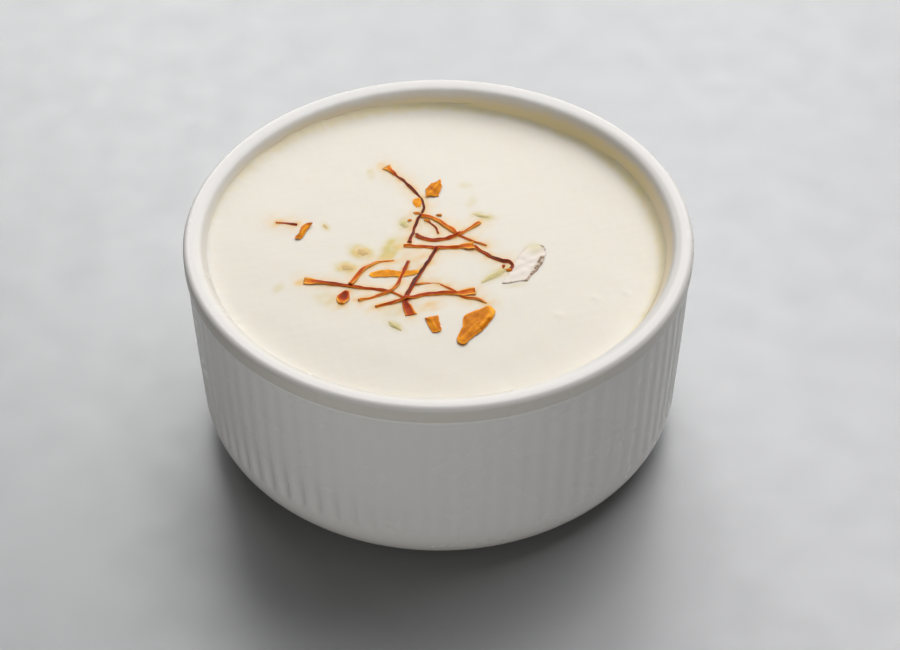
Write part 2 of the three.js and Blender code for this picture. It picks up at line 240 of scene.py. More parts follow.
ALMOND = (
    ((16.2, 0.9), (15, -0.2), (14, -2.2), (13.2, -3.9), (12.9, -5.6), (12, -7.4),
     (10.9, -9.4), (12, -9.4), (13.2, -8.9), (14.4, -8.5), (15.3, -8.9), (15.8, -7.9),
     (17, -6.2), (18.1, -4.3), (18.8, -2.3), (19.1, -0.3), (18.6, 1), (17.5, 1.5)),
    0.03, 56,
    ((18.5, -2.6, 17.2, -5.9, 0.75, 0.03, 1.2), (16.5, -6.6, 15.4, -8.8, 0.45, 0.03, 0.95),
     (18.3, 1.1, 19, -0.4, 0.42, 0.02, 0.75), (11.2, -9.4, 14.8, -8.6, 0.32, 0.02, 0.6),
     (13.2, -3.9, 15.6, 0.4, 0.24, 0.02, 0.4)),
)

# Scraps of petal: outlines, how far each stands off the pudding, and how much lighter it is.
SCRAP_THICK = 0.12
SCRAP_ARCH = 0.07
SCRAP_AXIS = 20
SCRAPS = (
    (((-12.3, -7.6), (-11.9, -8.2), (-10.4, -8.3), (-8.6, -8), (-6.9, -8.1), (-5, -7.8),
      (-3.2, -6.9), (-3.3, -6.2), (-5, -6.4), (-6.9, -6.6), (-8.8, -6.1), (-10.8, -6.5),
      (-12, -7.1)), -0.04, 0.28),
    (((-4.5, 13.2), (-4.6, 12.2), (-4.1, 10.9), (-3.2, 11), (-2.9, 12.5), (-3.2, 13.8)),
     -0.04, 0.3),
    (((-4.5, 9.4), (-4.1, 8.9), (-3.3, 9), (-3.3, 9.6), (-3.9, 9.8)), -0.02, -0.1),
    (((-5.5, 7.4), (-5.4, 6.9), (-4.8, 7), (-4.7, 7.5), (-5, 7.7)), -0.02, -0.1),
    (((-0.5, 8.9), (0, 8.5), (0.7, 8.6), (0.7, 9), (0.2, 9)), -0.02, -0.05),
    (((-2.7, 7.3), (-2, 6.9), (-1.3, 7.1), (-1.6, 7.6), (-2.3, 7.7)), -0.02, -0.1),
    (((11.7, -5.9), (12.4, -6.3), (13, -6), (12.7, -5.4), (12.1, -5.4)), -0.02, -0.2),
)

# Pistachio slivers, mostly sunk: centre, heading, length, half width and height above the skin.
PISTACHIO = (
    (-13.5, -1.6, 150, 2.9, 1.25, 0.15),
    (-16, -5.8, 165, 2.7, 1.1, 0.14),
    (-6, 6.4, 80, 2.4, 0.8, 0.12),
    (8, 8.8, 165, 3.4, 0.5, 0.12),
    (-7.6, -20.7, 138, 3.3, 0.62, 0.16),
    (10.2, -6.9, 40, 6.6, 0.72, 0.13),
    (-20.1, 5.3, 115, 1.8, 0.4, 0.04),
)

# What lies under the pudding's skin: x, y, half length, half width, heading, strength.
GREEN_SHADOWS = (
    (-13.7, -1.5, 2.3, 1.9, 150, 1), (-16.1, -5.8, 2, 1.6, 165, 1),
    (-8.2, -0.2, 3.1, 1.8, 70, 0.95), (-9.2, -2.6, 1.7, 1.3, 30, 0.8),
    (-6.1, 6.5, 1.7, 1.2, 80, 0.8), (8.1, 8.7, 2.2, 1.1, 165, 0.65),
    (6, 12.7, 1.6, 0.9, 70, 0.3), (5.1, 17.4, 1.4, 0.9, 160, 0.26),
    (-12.2, 20.2, 1.4, 0.8, 95, 0.42), (-20.1, 5.3, 1.4, 0.8, 115, 0.5),
    (-27.8, -11.4, 1.3, 0.8, 60, 0.45), (-7.6, -20.7, 2, 1, 138, 0.6),
    (-19.1, -14.2, 2.6, 1.8, 160, 0.4), (10.2, -6.9, 3.4, 1.2, 40, 0.6),
    (-7.8, -17, 2.2, 1.5, 20, 0.34), (16.6, 0.2, 1.6, 1.2, 60, 0.4),
    (13.4, -9.8, 2.4, 0.5, 15, 0.25),
)
YELLOW_SHADOWS = (
    (-3.8, -3.2, 3.8, 3, 20, 0.5), (-1.6, -15.4, 2.8, 1.5, 20, 0.6),
    (-15.4, -12.2, 1.7, 1.4, 60, 0.7), (-4.2, 8.8, 2.4, 1.3, 80, 0.4),
    (3.2, 6.2, 2.6, 1.6, 130, 0.25), (-9.6, -5.4, 2.4, 1.6, 20, 0.25),
    (12.2, -5.6, 1.5, 1.1, 20, 0.4), (-7.6, -7.2, 4.8, 1.5, 5, 0.4),
    (-13.5, -1.6, 1.6, 1.3, 150, 0.85), (-16.1, -5.8, 1.5, 1.2, 165, 0.8),
    (-9.8, 22, 1.9, 1.4, 130, 0.7), (5.2, -14.4, 1.5, 0.3, 120, 0.35),
    (-23.8, -9.9, 1.8, 1.2, 0, 0.7), (-17, -15.3, 1.5, 1, 20, 0.7),
)

# Headings in degrees, 0 at the right and 90 at the back: where the wall's film is stained most and
# carries the most painted shade, and the side that the pudding's painted warm light warms most.
WALL_STAIN_AND_SHADE = 60
WARM_SIDE = 238


# ---- Arithmetic on arrays ----


def ripple(u, v, wave, seed):
    """Soft unevenness of about one wavelength, mostly within -1 and 1: the sum of nine sine waves,
    each with its own heading, length and phase, divided by the root of half their number."""
    random = np.random.default_rng(seed)
    headings, phases = random.uniform(0, 2 * np.pi, (2, 9))
    lengths = wave * random.uniform(0.7, 1.5, 9)
    total = 0
    for heading, phase, length in zip(headings, phases, lengths):
        across = u * np.cos(heading) + v * np.sin(heading)
        total = total + np.sin(2 * np.pi * across / length + phase)
    return total / math.sqrt(4.5)


def ease(share):
    """0 below 0 and 1 above 1, and three squares less two cubes of the share between them."""
    held = np.clip(share, 0, 1)
    return held * held * (3 - 2 * held)


def smooth_path(knots, count):
    """Points on the Catmull-Rom curve through the knots, evenly spread in the number of knots."""
    given = np.array(knots, float)
    ends = 2 * given[[0, -1]] - given[[1, -2]]
    padded = np.vstack([ends[:1], given, ends[1:]])
    place = np.linspace(0, len(given) - 1, count)
    span = np.minimum(place.astype(int), len(given) - 2)
    u = (place - span)[:, None]
    before, start, end, after = (padded[span + k] for k in range(4))
    cubic = 3 * (start - end) + after - before
    square = 2 * before - 5 * start + 4 * end - after
    return 0.5 * (2 * start + (end - before) * u + square * u**2 + cubic * u**3)


def turned(x, y, heading):
    """How far a place is along a heading in degrees and across it, by its cosine and sine."""
    turn = math.radians(heading)
    return x * math.cos(turn) + y * math.sin(turn), y * math.cos(turn) - x * math.sin(turn)


def by_direction(table, angle, column):
    """A column of a table, in straight lines between its directions."""
    return np.interp(np.degrees(angle), table[0], table[column], period=360)


# ---- Skins and the pieces made of them ----


# A closed surface: its points, its quads and triangles, and the marks at each point that its look
# reads.
Skin = namedtuple("Skin", "points quads triangles marks")


def closed_skin(rings, first_pole, last_pole, **marks):
    """Joins an array of rings (rows, columns, 3) from the first pole to the last, each ring
    anticlockwise as seen from the last pole: quads between neighbouring rings, and a fan of
    triangles at each end. A mark spreads over the rows and columns, and its poles take the mean
    of the ring beside them."""
    rows, columns = rings.shape[:2]
    here = np.arange(columns)
    after = (here + 1) % columns
    row = columns * np.arange(rows - 1)[:, None]
    above = row + columns
    quads = np.stack([row + here, row + after, above + after, above + here], -1)
    top = columns * (rows - 1)
    first = np.stack([np.full(columns, rows * columns), after, here], -1)
    last = np.stack([np.full(columns, rows * columns + 1), top + here, top + after], -1)
    spread = {}
    for name, mark in marks.items():
        mark = np.broadcast_to(mark, (rows, columns))
        spread[name] = np.append(mark.ravel(), [mark[0].mean(), mark[-1].mean()])
    points = np.vstack([rings.reshape(-1, 3), first_pole, last_pole])
    return Skin(points, quads.reshape(-1, 4), np.vstack([first, last]), spread)


def add_object(name, data):
    """A new object in the scene."""
    made = bpy.data.objects.new(name, data)
    bpy.context.scene.collection.objects.link(made)
    return made


def make_piece(name, skins, look, replaces=()):
    """Puts the skins in one smooth mesh, in metres, with its marks as attributes, and lets it ride
    on the part's one body."""
    starts = np.cumsum([0] + [len(skin.points) for skin in skins[:-1]])
    quads = np.vstack([skin.quads + start for skin, start in zip(skins, starts)])
    triangles = np.vstack([skin.triangles + start for skin, start in zip(skins, starts)])
    points = np.vstack([skin.points for skin in skins]) * MM
    corners = np.concatenate([quads.ravel(), triangles.ravel()])
    sizes = np.repeat([4, 3], [len(quads), len(triangles)])
    mesh = bpy.data.meshes.new(name)
    mesh.vertices.add(len(points))
    mesh.vertices.foreach_set("co", points.ravel())
    mesh.loops.add(len(corners))
    mesh.loops.foreach_set("vertex_index", corners)
    mesh.polygons.add(len(sizes))
    mesh.polygons.foreach_set("loop_start", np.cumsum(sizes) - sizes)
    for mark in skins[0].marks:
        values = np.concatenate([skin.marks[mark] for skin in skins]).astype(np.float32)
        mesh.attributes.new(mark, "FLOAT", "POINT").data.foreach_set("value", values)
    mesh.update(calc_edges=True)
    mesh.shade_smooth()
    mesh.validate()
    mesh.materials.append(look)
    piece = add_object(name, mesh)
    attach(piece, "root")
    if replaces:
        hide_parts(*replaces)


# ---- Ramekin ----


def body_radius(depth):
    """Outer radius of the body: it narrows with a power of the depth below the band."""
    below = np.maximum(depth - BAND_DEPTH, 0)
    return BODY_RADIUS - BODY_TAPER * below**BODY_TAPER_POWER


def wall_radius(depth):
    """Inner radius of the wall: a straight draft and a flare that dies away with depth."""
    return WALL_RADIUS - WALL_DRAFT * depth + FLARE_WIDTH * np.exp(-depth / FLARE_DEPTH)


def ramekin_profile():
    """Radius and depth from the base's middle round the outside and over the lip to the inner
    floor's middle: flat lines, a quarter ellipse for the heel, the tapered body, a ledge and a
    groove under the band, an arc for the lip and its crown, the flared wall, and a quarter circle
    inside the heel. Also where the outside's heel, body and groove are, which may be fluted."""
    inner_foot = FOOT_RADIUS - FOOT_WIDTH
    base = HEIGHT - FOOT_RECESS
    heel = np.radians(np.linspace(90, 6, 13))
    heel_top = body_radius(HEEL_DEPTH)
    step = np.linspace(0, 1, 5)
    tip = FLUTE_TIP * (1 - np.cos(np.radians(np.linspace(0, 90, 9))))
    flute = np.concatenate([
        FLUTE_BOTTOM - tip,
        np.linspace(FLUTE_BOTTOM - FLUTE_TIP, FLUTE_TOP + FLUTE_TIP, 12)[1:-1],
        (FLUTE_TOP + tip[::-1])[:-4],
    ])
    groove = np.array(BAND_FOOT).T
    corner = np.radians(np.linspace(0, 90, 13))
    wall = np.array([1.95, 2.5, 3.1, 3.8, 4.6, 5.4, 6.5, 12, 20])
    turn_in = np.radians([0, 30, 60, 90])
    start = FLOOR_DEPTH - INNER_HEEL
    parts = (
        ([8, 20, 30], [base] * 3),
        (inner_foot - FOOT_RECESS * (1 - step), base + FOOT_RECESS * ease(step)),
        ([inner_foot + 0.8, FOOT_RADIUS - 0.8], [HEIGHT] * 2),
        (FOOT_RADIUS + (heel_top - FOOT_RADIUS) * np.cos(heel),
         HEEL_DEPTH + (HEIGHT - HEEL_DEPTH) * np.sin(heel)),
        (body_radius(flute), flute),
        (body_radius(groove[0]) - groove[1], groove[0]),
        ([RIM_RADIUS - 0.03, RIM_RADIUS, RIM_RADIUS], [3, 2.85, 2]),
        (RIM_RADIUS - RIM_ROUNDING * (1 - np.cos(corner)), RIM_ROUNDING * (1 - np.sin(corner))),
        np.array(RIM_CROWN).T,
        (wall_radius(wall), wall),
        (wall_radius(start) - INNER_HEEL * (1 - np.cos(turn_in)),
         start + INNER_HEEL * np.sin(turn_in)),
        ([18, 6], [FLOOR_DEPTH] * 2),
    )
    radii = np.concatenate([part[0] for part in parts])
    depths = np.concatenate([part[1] for part in parts])
    outside = np.zeros(len(radii))
    first = sum(len(part[0]) for part in parts[:3])
    outside[first : first + sum(len(part[0]) for part in parts[3:6])] = 1
    return radii, depths, outside


def ramekin():
    """The profile turned round the axis, less the flutes: each flute is a parabola across and
    another at its two tips, cut off softly where it meets the lands, times the relief that the
    glaze leaves in its direction, which eases from one share to the other near the lower tip."""
    radii, depths, outside = (part[:, None] for part in ramekin_profile())
    pitch = 2 * np.pi / FLUTES
    shares = np.tile(FLUTE_SHARES, FLUTES)
    angles = FLUTE_PHASE + pitch * (np.repeat(np.arange(FLUTES), len(FLUTE_SHARES)) + shares)
    across = np.abs(shares - 0.5) / ((1 - LAND_SHARE) / 2)
    along = np.minimum(depths - FLUTE_TOP, FLUTE_BOTTOM - depths) / FLUTE_TIP
    scoop = 1 - across**2 - (1 - np.clip(along, -1, 1)) ** 2
    relief = 0.5 * (scoop + np.sqrt(scoop**2 + FLUTE_SOFTNESS**2))
    high, low = (by_direction(RELIEF_LEFT, angles, column) for column in (1, 2))
    left = high + (low - high) * ease((depths - TIPS_FROM) / TIPS_WITHIN)
    relief = FLUTE_RELIEF * relief * left * outside
    sag = 0.05 * ripple(np.cos(angles) * 40, np.sin(angles) * 40, 60, 3)
    radii = radii - relief + sag * ease((HEIGHT - depths) / 4)
    heights = HEIGHT - depths + 0 * angles
    rings = np.stack([radii * np.cos(angles), radii * np.sin(angles), heights], -1)
    under = (0, 0, FOOT_RECESS)
    floor = (0, 0, HEIGHT - FLOOR_DEPTH)
    return closed_skin(rings, under, floor, hollow=relief / FLUTE_RELIEF)


# ---- Pudding ----


def level(x, y):
    """Height of the pudding's open surface: a plane that falls to the right, with a slow swell."""
    swell = SWELL * np.sin(x / 7 + 0.4) * np.cos(y / 9 - 0.6)
    return HEIGHT - LEVEL_DEPTH - LEVEL_TILT * x + swell


def blots(x, y, places):
    """The sum of flat-topped oval spots: each is its strength times e to minus the 1.6th power of
    the squared distance over its half length and half width."""
    total = 0
    for centre_x, centre_y, half_length, half_width, heading, strength in places:
        along, across = turned(x - centre_x, y - centre_y, heading)
        away = (along / half_length) ** 2 + (across / half_width) ** 2
        total = total + strength * np.exp(-(away**1.6))
    return total


def creep(angle):
    """How far the pudding's edge climbs the wall: the rise of its direction, and the tallest of
    many uneven scallops, each a parabola 1 to 5 mm wide."""
    random = np.random.default_rng(11)
    centres = random.uniform(-np.pi, np.pi, SCALLOPS)
    widths = random.uniform(0.012, 0.06, SCALLOPS)
    heights = random.uniform(0.05, 0.5, SCALLOPS) * (0.3 + 0.35 * by_direction(EDGE, centres, 1))
    away = (angle[:, None] - centres + np.pi) % (2 * np.pi) - np.pi
    bumps = heights * np.maximum(1 - (away / widths) ** 2, 0)
    return by_direction(EDGE, angle, 1) + bumps.max(1)


def edge_radius(angle):
    """Where the pudding touches the wall: the wall's radius at the depth of the crept edge."""
    reach = wall_radius(LEVEL_DEPTH)
    flat = HEIGHT - level(reach * np.cos(angle), reach * np.sin(angle))
    return wall_radius(flat - creep(angle))


def stain(x, y, thread_lines):
    """How yellow the threads stain the pudding: two bells of the distance to the nearest one."""
    nearest = np.full(x.shape, 1e9)
    for point in np.vstack([line[::3] for line in thread_lines]):
        nearest = np.minimum(nearest, (x - point[0]) ** 2 + (y - point[1]) ** 2)
    return 0.55 * np.exp(-nearest / 0.8**2) + 0.38 * np.exp(-nearest / 2.1**2)


def pudding_side():
    """Radius and depth up the pudding's hidden side, a little clear of the ramekin: a quarter
    circle inside its heel and then the wall's own slope."""
    start = FLOOR_DEPTH - INNER_HEEL
    turn_in = np.radians([90, 60, 30, 0])
    heel = INNER_HEEL - PUDDING_GAP
    slope = np.array([20, 12, 8])
    radii = np.append(
        wall_radius(start) - INNER_HEEL + heel * np.cos(turn_in), wall_radius(slope) - PUDDING_GAP
    )
    return radii[:, None], np.append(start + heel * np.sin(turn_in), slope)[:, None]


def pudding(thread_lines):
    """Rings from under the pudding up its side and in over its open surface. The height on top is
    the level, the lumps, a slight unevenness, and the creep at the edge, which falls off as e to
    minus the way in over a width: three quarters of it over that direction's width, and a quarter
    over a longer tail. Its marks are where it is stained yellow or green, and where its skin is
    thin by the wall, a mark that also carries painted shade of the wall."""
    angles = np.linspace(-np.pi, np.pi, PUDDING_COLUMNS, endpoint=False)
    cos, sin = np.cos(angles), np.sin(angles)
    edge = edge_radius(angles)
    slope = SLOPE_WIDTH * np.linspace(0, 1, SLOPE_RINGS) ** 1.4
    field = np.linspace(SLOPE_WIDTH + 0.3, PUDDING_RADIUS - 0.5, FIELD_RINGS)
    radii = edge * (1 - np.append(slope, field)[:, None] / PUDDING_RADIUS)
    x, y = radii * cos, radii * sin
    inward = edge - radii
    rise = 0.75 * np.exp(-inward / by_direction(EDGE, angles, 2))
    rise = (rise + 0.25 * np.exp(-inward / SLOPE_TAIL)) * creep(angles)
    grain = 0.004 * ripple(x, y, 2.6, 5) + 0.015 * ripple(x, y, 9, 6)
    lumps = sum(high * np.exp(-((x - px) ** 2 + (y - py) ** 2) / spread**2)
                for px, py, spread, high in LUMPS)
    top = np.stack([x, y, level(x, y) + rise + lumps + grain], -1)
    radii, depths = pudding_side()
    side = np.stack([radii * cos, radii * sin, HEIGHT - depths + 0 * angles], -1)
    rings = np.concatenate([side, top])
    x, y = rings[..., 0], rings[..., 1]
    patchy = 1 + 0.22 * ripple(x, y, 2.4, 8)
    yellow = np.maximum(blots(x, y, YELLOW_SHADOWS), stain(x, y, thread_lines)) * patchy
    green = blots(x, y, GREEN_SHADOWS) * patchy
    inward = edge - np.hypot(x, y)
    thin = np.exp(-((inward / by_direction(EDGE, angles, 3)) ** 1.2))
    thin = thin * by_direction(EDGE, angles, 4)
    return closed_skin(
        rings, (0, 0, HEIGHT - FLOOR_DEPTH + PUDDING_GAP), (0, 0, level(0, 0)),
        yellow=np.clip(yellow, 0, 1), green=np.clip(green, 0, 1), thin=np.clip(thin, 0, 1),
    )


# ---- Saffron threads ----


def thread_line(route, number):
    """The middle line of a thread on the pudding, at steps of one length, with a slight waver, and
    the length along it."""
    rough = smooth_path(route, 240)
    lengths = np.append(0, np.cumsum(np.hypot(*np.diff(rough, axis=0).T)))
    count = max(14, int(lengths[-1] / THREAD_STEP))
    along = np.linspace(0, lengths[-1], count)
    line = np.stack([np.interp(along, lengths, rough[:, k]) for k in range(2)], -1)
    waver = [0.04 * ripple(along, 0, 2.6, 40 + 2 * number + k) for k in range(2)]
    return line + np.stack(waver, -1), along


def furled_thread(route, halves, tones, number, laid):
    """A furled stigma: an oval carried along the thread's line, with a groove along its top, wide
    and thin where the thread flares, and twisting a little. Its half width and its tone run in
    straight lines between those given. It lies on the pudding, and climbs over each thread already
    laid by a bell of the distance to it. Also its middle line."""
    line, along = thread_line(route, number)
    share = along / along[-1]
    half = THREAD_SPREAD * np.interp(share, *zip(*halves))
    half = half * (1 + 0.07 * ripple(along, 0, 2.4, 70 + number))
    flare = ease((half - 0.5) / 0.35)
    height = THREAD_HEIGHT * (1 - 0.5 * flare) * np.clip(half / 0.36, 0.6, 1.15)
    z = level(line[:, 0], line[:, 1]) + height - THREAD_SINK
    for other in laid:
        gaps = np.hypot(*(line[:, None] - other[None, :, :2]).transpose(2, 0, 1)).min(1)
        z = z + CROSSING_RISE * np.exp(-((gaps / CROSSING_REACH) ** 2))
    z = z + 0.04 + 0.07 * flare + 0.05 * ripple(along, 0, 5, 90 + number)
    tangent = np.gradient(line, axis=0)
    tangent = tangent / np.hypot(*tangent.T)[:, None]
    side = np.stack([-tangent[:, 1], tangent[:, 0]], -1)
    angles = 2 * np.pi * np.arange(THREAD_SIDES) / THREAD_SIDES
    twist = 0.22 * ripple(along, 0, 6, 110 + number)[:, None] * (1 - flare[:, None])
    groove = 1 - (0.5 + 0.4 * flare[:, None]) * np.exp(-((np.cos(angles) / 0.42) ** 2))
    grooved = np.where(np.sin(angles) > 0, groove, 1)
    ribs = 1 + 0.04 * np.cos(5 * angles + number)
    wide = half[:, None] * np.cos(angles) * ribs
    cupped = 0.14 * flare[:, None] * np.cos(angles) ** 2
    tall = height[:, None] * np.sin(angles) * grooved + cupped
    across = wide * np.cos(twist) - tall * np.sin(twist)
    lift = wide * np.sin(twist) + tall * np.cos(twist)
    frayed = 0.05 * flare[:, None] * np.cos(4 * angles + number)
    frayed = frayed * (ease((share - 0.94) / 0.06) - ease((0.06 - share) / 0.06))[:, None]
    x = line[:, :1] + across * side[:, :1] + frayed * tangent[:, :1]
    y = line[:, 1:] + across * side[:, 1:] + frayed * tangent[:, 1:]
    rings = np.stack([x, y, z[:, None] + lift], -1)
    poles = [rings[end].mean(0) + inward * np.array([*tangent[end], 0])
             for end, inward in ((0, 0.2), (-1, -0.2))]
    skin = closed_skin(
        rings, *poles, tone=np.interp(share, *zip(*tones))[:, None], edge=np.abs(np.cos(angles)),
        round=angles / (2 * np.pi), along=along[:, None],
    )
    return skin, np.column_stack([line, z])


# ---- Flakes and slivers ----

PLATE_COLUMNS = 132
PLATE_UNDER = (0.3, 0.6, 0.85, 0.97)
PLATE_OVER = (1, 0.985, 0.95, 0.9, 0.82, 0.72, 0.6, 0.48, 0.36, 0.24, 0.12)


def outline_points(outline, seed):
    """Points evenly spread along a closed outline, its corners eased, its edge slightly ragged."""
    corners = np.array([*outline, outline[0]])
    lengths = np.append(0, np.cumsum(np.hypot(*np.diff(corners, axis=0).T)))
    along = np.linspace(0, lengths[-1], PLATE_COLUMNS, endpoint=False)
    line = np.stack([np.interp(along, lengths, corners[:, k]) for k in range(2)], -1)
    reach = max(2, int(0.3 * PLATE_COLUMNS / lengths[-1]))
    line = sum(np.roll(line, k, axis=0) for k in range(-reach, reach + 1)) / (2 * reach + 1)
    turn = 2 * np.pi * along / lengths[-1]
    ragged = 0.055 * ripple(9 * np.cos(turn), 9 * np.sin(turn), 3, seed)
    tangent = np.roll(line, -1, axis=0) - np.roll(line, 1, axis=0)
    tangent = tangent / np.hypot(*tangent.T)[:, None]
    return line + ragged[:, None] * np.stack([tangent[:, 1], -tangent[:, 0]], -1)


def plate(outline, thick, lift, arch, axis, folds, seed):
    """A flat flake: its outline drawn in towards its middle, below and above, with the two faces
    its thickness apart and meeting in a rounded edge. It arches across its axis by the square of
    the distance, and each fold is a ridge that falls off as e to minus the square of the distance
    to a line over its width."""
    edge = outline_points(outline, seed)
    middle = edge.mean(0)
    shares = np.array(PLATE_UNDER + PLATE_OVER)[:, None]
    over = np.repeat([-1, 1], [len(PLATE_UNDER), len(PLATE_OVER)])[:, None]
    x = middle[0] + shares * (edge[:, 0] - middle[0])
    y = middle[1] + shares * (edge[:, 1] - middle[1])
    along, across = turned(x - middle[0], y - middle[1], axis)
    face = over * 0.5 * thick * np.sqrt(1 - shares**8)
    rise = arch * (1 - (across / np.abs(across).max()) ** 2)
    rise = rise + 0.05 * ripple(x, y, 2.2, seed + 1) * (1 - shares**4)
    tone = 0 * x
    for from_x, from_y, to_x, to_y, width, high, lighter in folds:
        run = np.array([to_x - from_x, to_y - from_y])
        place = (x - from_x) * run[0] + (y - from_y) * run[1]
        place = np.clip(place / (run @ run), 0, 1)
        away = (x - from_x - place * run[0]) ** 2 + (y - from_y - place * run[1]) ** 2
        near = np.exp(-away / width**2)
        rise = rise + high * near
        # On the petals this tone is partly painted light on ridges and painted shade in creases.
        tone = tone + lighter * near
    z = level(x, y) + lift + 0.5 * thick + face + rise
    rings = np.stack([x, y, z], -1)
    marks = {"edge": shares, "along": along, "across": across, "tone": tone}
    return closed_skin(rings, rings[0].mean(0), rings[-1].mean(0), **marks)


def sliver(x, y, heading, length, half, high, seed):
    """A nut sliver that only its back shows of: an oval dome, uneven round its edge."""
    angles = 2 * np.pi * np.arange(28) / 28
    share = np.linspace(1, 0.1, 10)[:, None]
    waver = 1 + 0.14 * ripple(np.cos(angles) * 2, np.sin(angles) * 2, 3, seed)
    u = share * waver * np.cos(angles) * length / 2
    v = share * waver * np.sin(angles) * half
    turn = math.radians(heading)
    px = x + u * math.cos(turn) - v * math.sin(turn)
    py = y + u * math.sin(turn) + v * math.cos(turn)
    dome = (high + 0.12) * np.sqrt(1 - 0.97 * share**2) - 0.12 + 0 * angles
    dome = dome + 0.012 * ripple(px, py, 1.4, seed + 1)
    rings = np.stack([px, py, level(px, py) + dome], -1)
    below = (x, y, level(x, y) - 0.4)
    above = rings[-1].mean(0)
    return closed_skin(rings, below, above, above=np.clip(dome / (high + 0.02), 0, 1))


# ---- Looks ----


def operator(operation, swapped=False):
    """A method that joins two values, or a value and a number, by one Math node."""

    def method(self, other):
        terms = (other, self) if swapped else (self, other)
        return self.look.node("ShaderNodeMath", {"operation": operation}, terms)

    return method


class Value:
    """A shader socket on which ordinary arithmetic works."""

    def __init__(self, look, socket):
        self.look, self.socket = look, socket

    __add__ = __radd__ = operator("ADD")
    __sub__ = operator("SUBTRACT")
    __rsub__ = operator("SUBTRACT", swapped=True)
    __mul__ = __rmul__ = operator("MULTIPLY")
    __truediv__ = operator("DIVIDE")
    __pow__ = operator("POWER")


class Look:
    """A material being made: one Principled shader, the nodes that feed it, and its colour as it
    is so far."""

    def __init__(self, name, colour=None, **constants):
        self.material = bpy.data.materials.new(name)
        self.material.use_nodes = True
        self.tree = self.material.node_tree
        self.tree.nodes.clear()
        self.shader = self.tree.nodes.new("ShaderNodeBsdfPrincipled")
        output = self.tree.nodes.new("ShaderNodeOutputMaterial")
        self.tree.links.new(self.shader.outputs[0], output.inputs[0])
        for socket, constant in constants.items():
            self.shader.inputs[socket.replace("_", " ")].default_value = constant
        self.colour = colour
        # Where a point is on the object, in millimetres.
        sockets = {0: self.node("ShaderNodeTexCoord", output="Object"), "Scale": 1000}
        self.place = self.node("ShaderNodeVectorMath", {"operation": "SCALE"}, sockets)

    def node(self, kind, settings=None, inputs=(), output=0):
        """Adds a node: first its settings, among them a ramp's stops, then the values or links of
        its sockets. Returns one of its outputs."""
        made = self.tree.nodes.new(kind)
        for name, setting in (settings or {}).items():
            if name == "stops":
                self.set_stops(made.color_ramp.elements, setting)
            else:
                setattr(made, name, setting)
        self.feed(made.inputs, inputs)
        return Value(self, made.outputs[output])

    def set_stops(self, elements, stops):
        while len(elements) < len(stops):
            elements.new(0.5)
        for element, (place, colour) in zip(elements, stops):
            element.position = place
            element.color = (*colour, 1)

    def feed(self, sockets, inputs):
        """Links or sets sockets, by order or by name."""
        for key, given in inputs.items() if isinstance(inputs, dict) else enumerate(inputs):
            if isinstance(given, Value):
                self.tree.links.new(given.socket, sockets[key])
            elif sockets[key].type == "RGBA":
                sockets[key].default_value = (*given, 1)
            else:
                sockets[key].default_value = given

    def mark(self, name):
        return self.node("ShaderNodeAttribute", {"attribute_name": name}, output="Fac")

    def noise(self, scale, detail=3, roughness=0.55, where=None):
        """Noise over the place on the object, or over another."""
        sockets = {"Vector": where or self.place, "Scale": scale, "Detail": detail}
        return self.node("ShaderNodeTexNoise", {}, sockets | {"Roughness": roughness})

    def step(self, given, low, high):
        """0 to 1 as the value goes from low to high, eased at both ends."""
        sockets = {"Value": given, "From Min": low, "From Max": high}
        return self.node("ShaderNodeMapRange", {"interpolation_type": "SMOOTHSTEP"}, sockets)

    def ramp(self, given, *stops):
        """Starts the colour as one that a value picks, from stops of a value and its colour."""
        self.colour = self.node("ShaderNodeValToRGB", {"stops": stops}, [given])

    def mix(self, share, first, second):
        """A colour between two, by a share."""
        sockets = {0: share, 6: first, 7: second}
        return self.node("ShaderNodeMix", {"data_type": "RGBA"}, sockets, 2)

    def tint(self, share, colour):
        """Lays another colour over what there is so far, by a share."""
        self.colour = self.mix(share, self.colour, colour)

    def parts(self):
        """The x, y and z of a place."""
        split = self.node("ShaderNodeSeparateXYZ", {}, [self.place])
        return [Value(self, socket) for socket in split.socket.node.outputs]

    def radius(self):
        """How far a place is from the axis."""
        x, y, _ = self.parts()
        return (x * x + y * y) ** 0.5

    def toward(self, heading):
        """How far round toward a heading a place is: 1 straight that way, -1 the other way."""
        x, y, _ = self.parts()
        turn = math.radians(heading)
        return (x * math.cos(turn) + y * math.sin(turn)) / self.radius()

    def vector(self, x, y, z):
        return self.node("ShaderNodeCombineXYZ", {}, [x, y, z])

    def done(self, roughness, height, distance, strength=1):
        """Feeds the shader its colour, its roughness, and a bump over a height of 0 to 1, worth
        that distance in millimetres. Returns the material."""
        sockets = {"Height": height, "Distance": distance * MM, "Strength": strength}
        bump = self.node("ShaderNodeBump", {}, sockets)
        sockets = {"Base Color": self.colour, "Roughness": roughness, "Normal": bump}
        self.feed(self.shader.inputs, sockets)
        return self.material


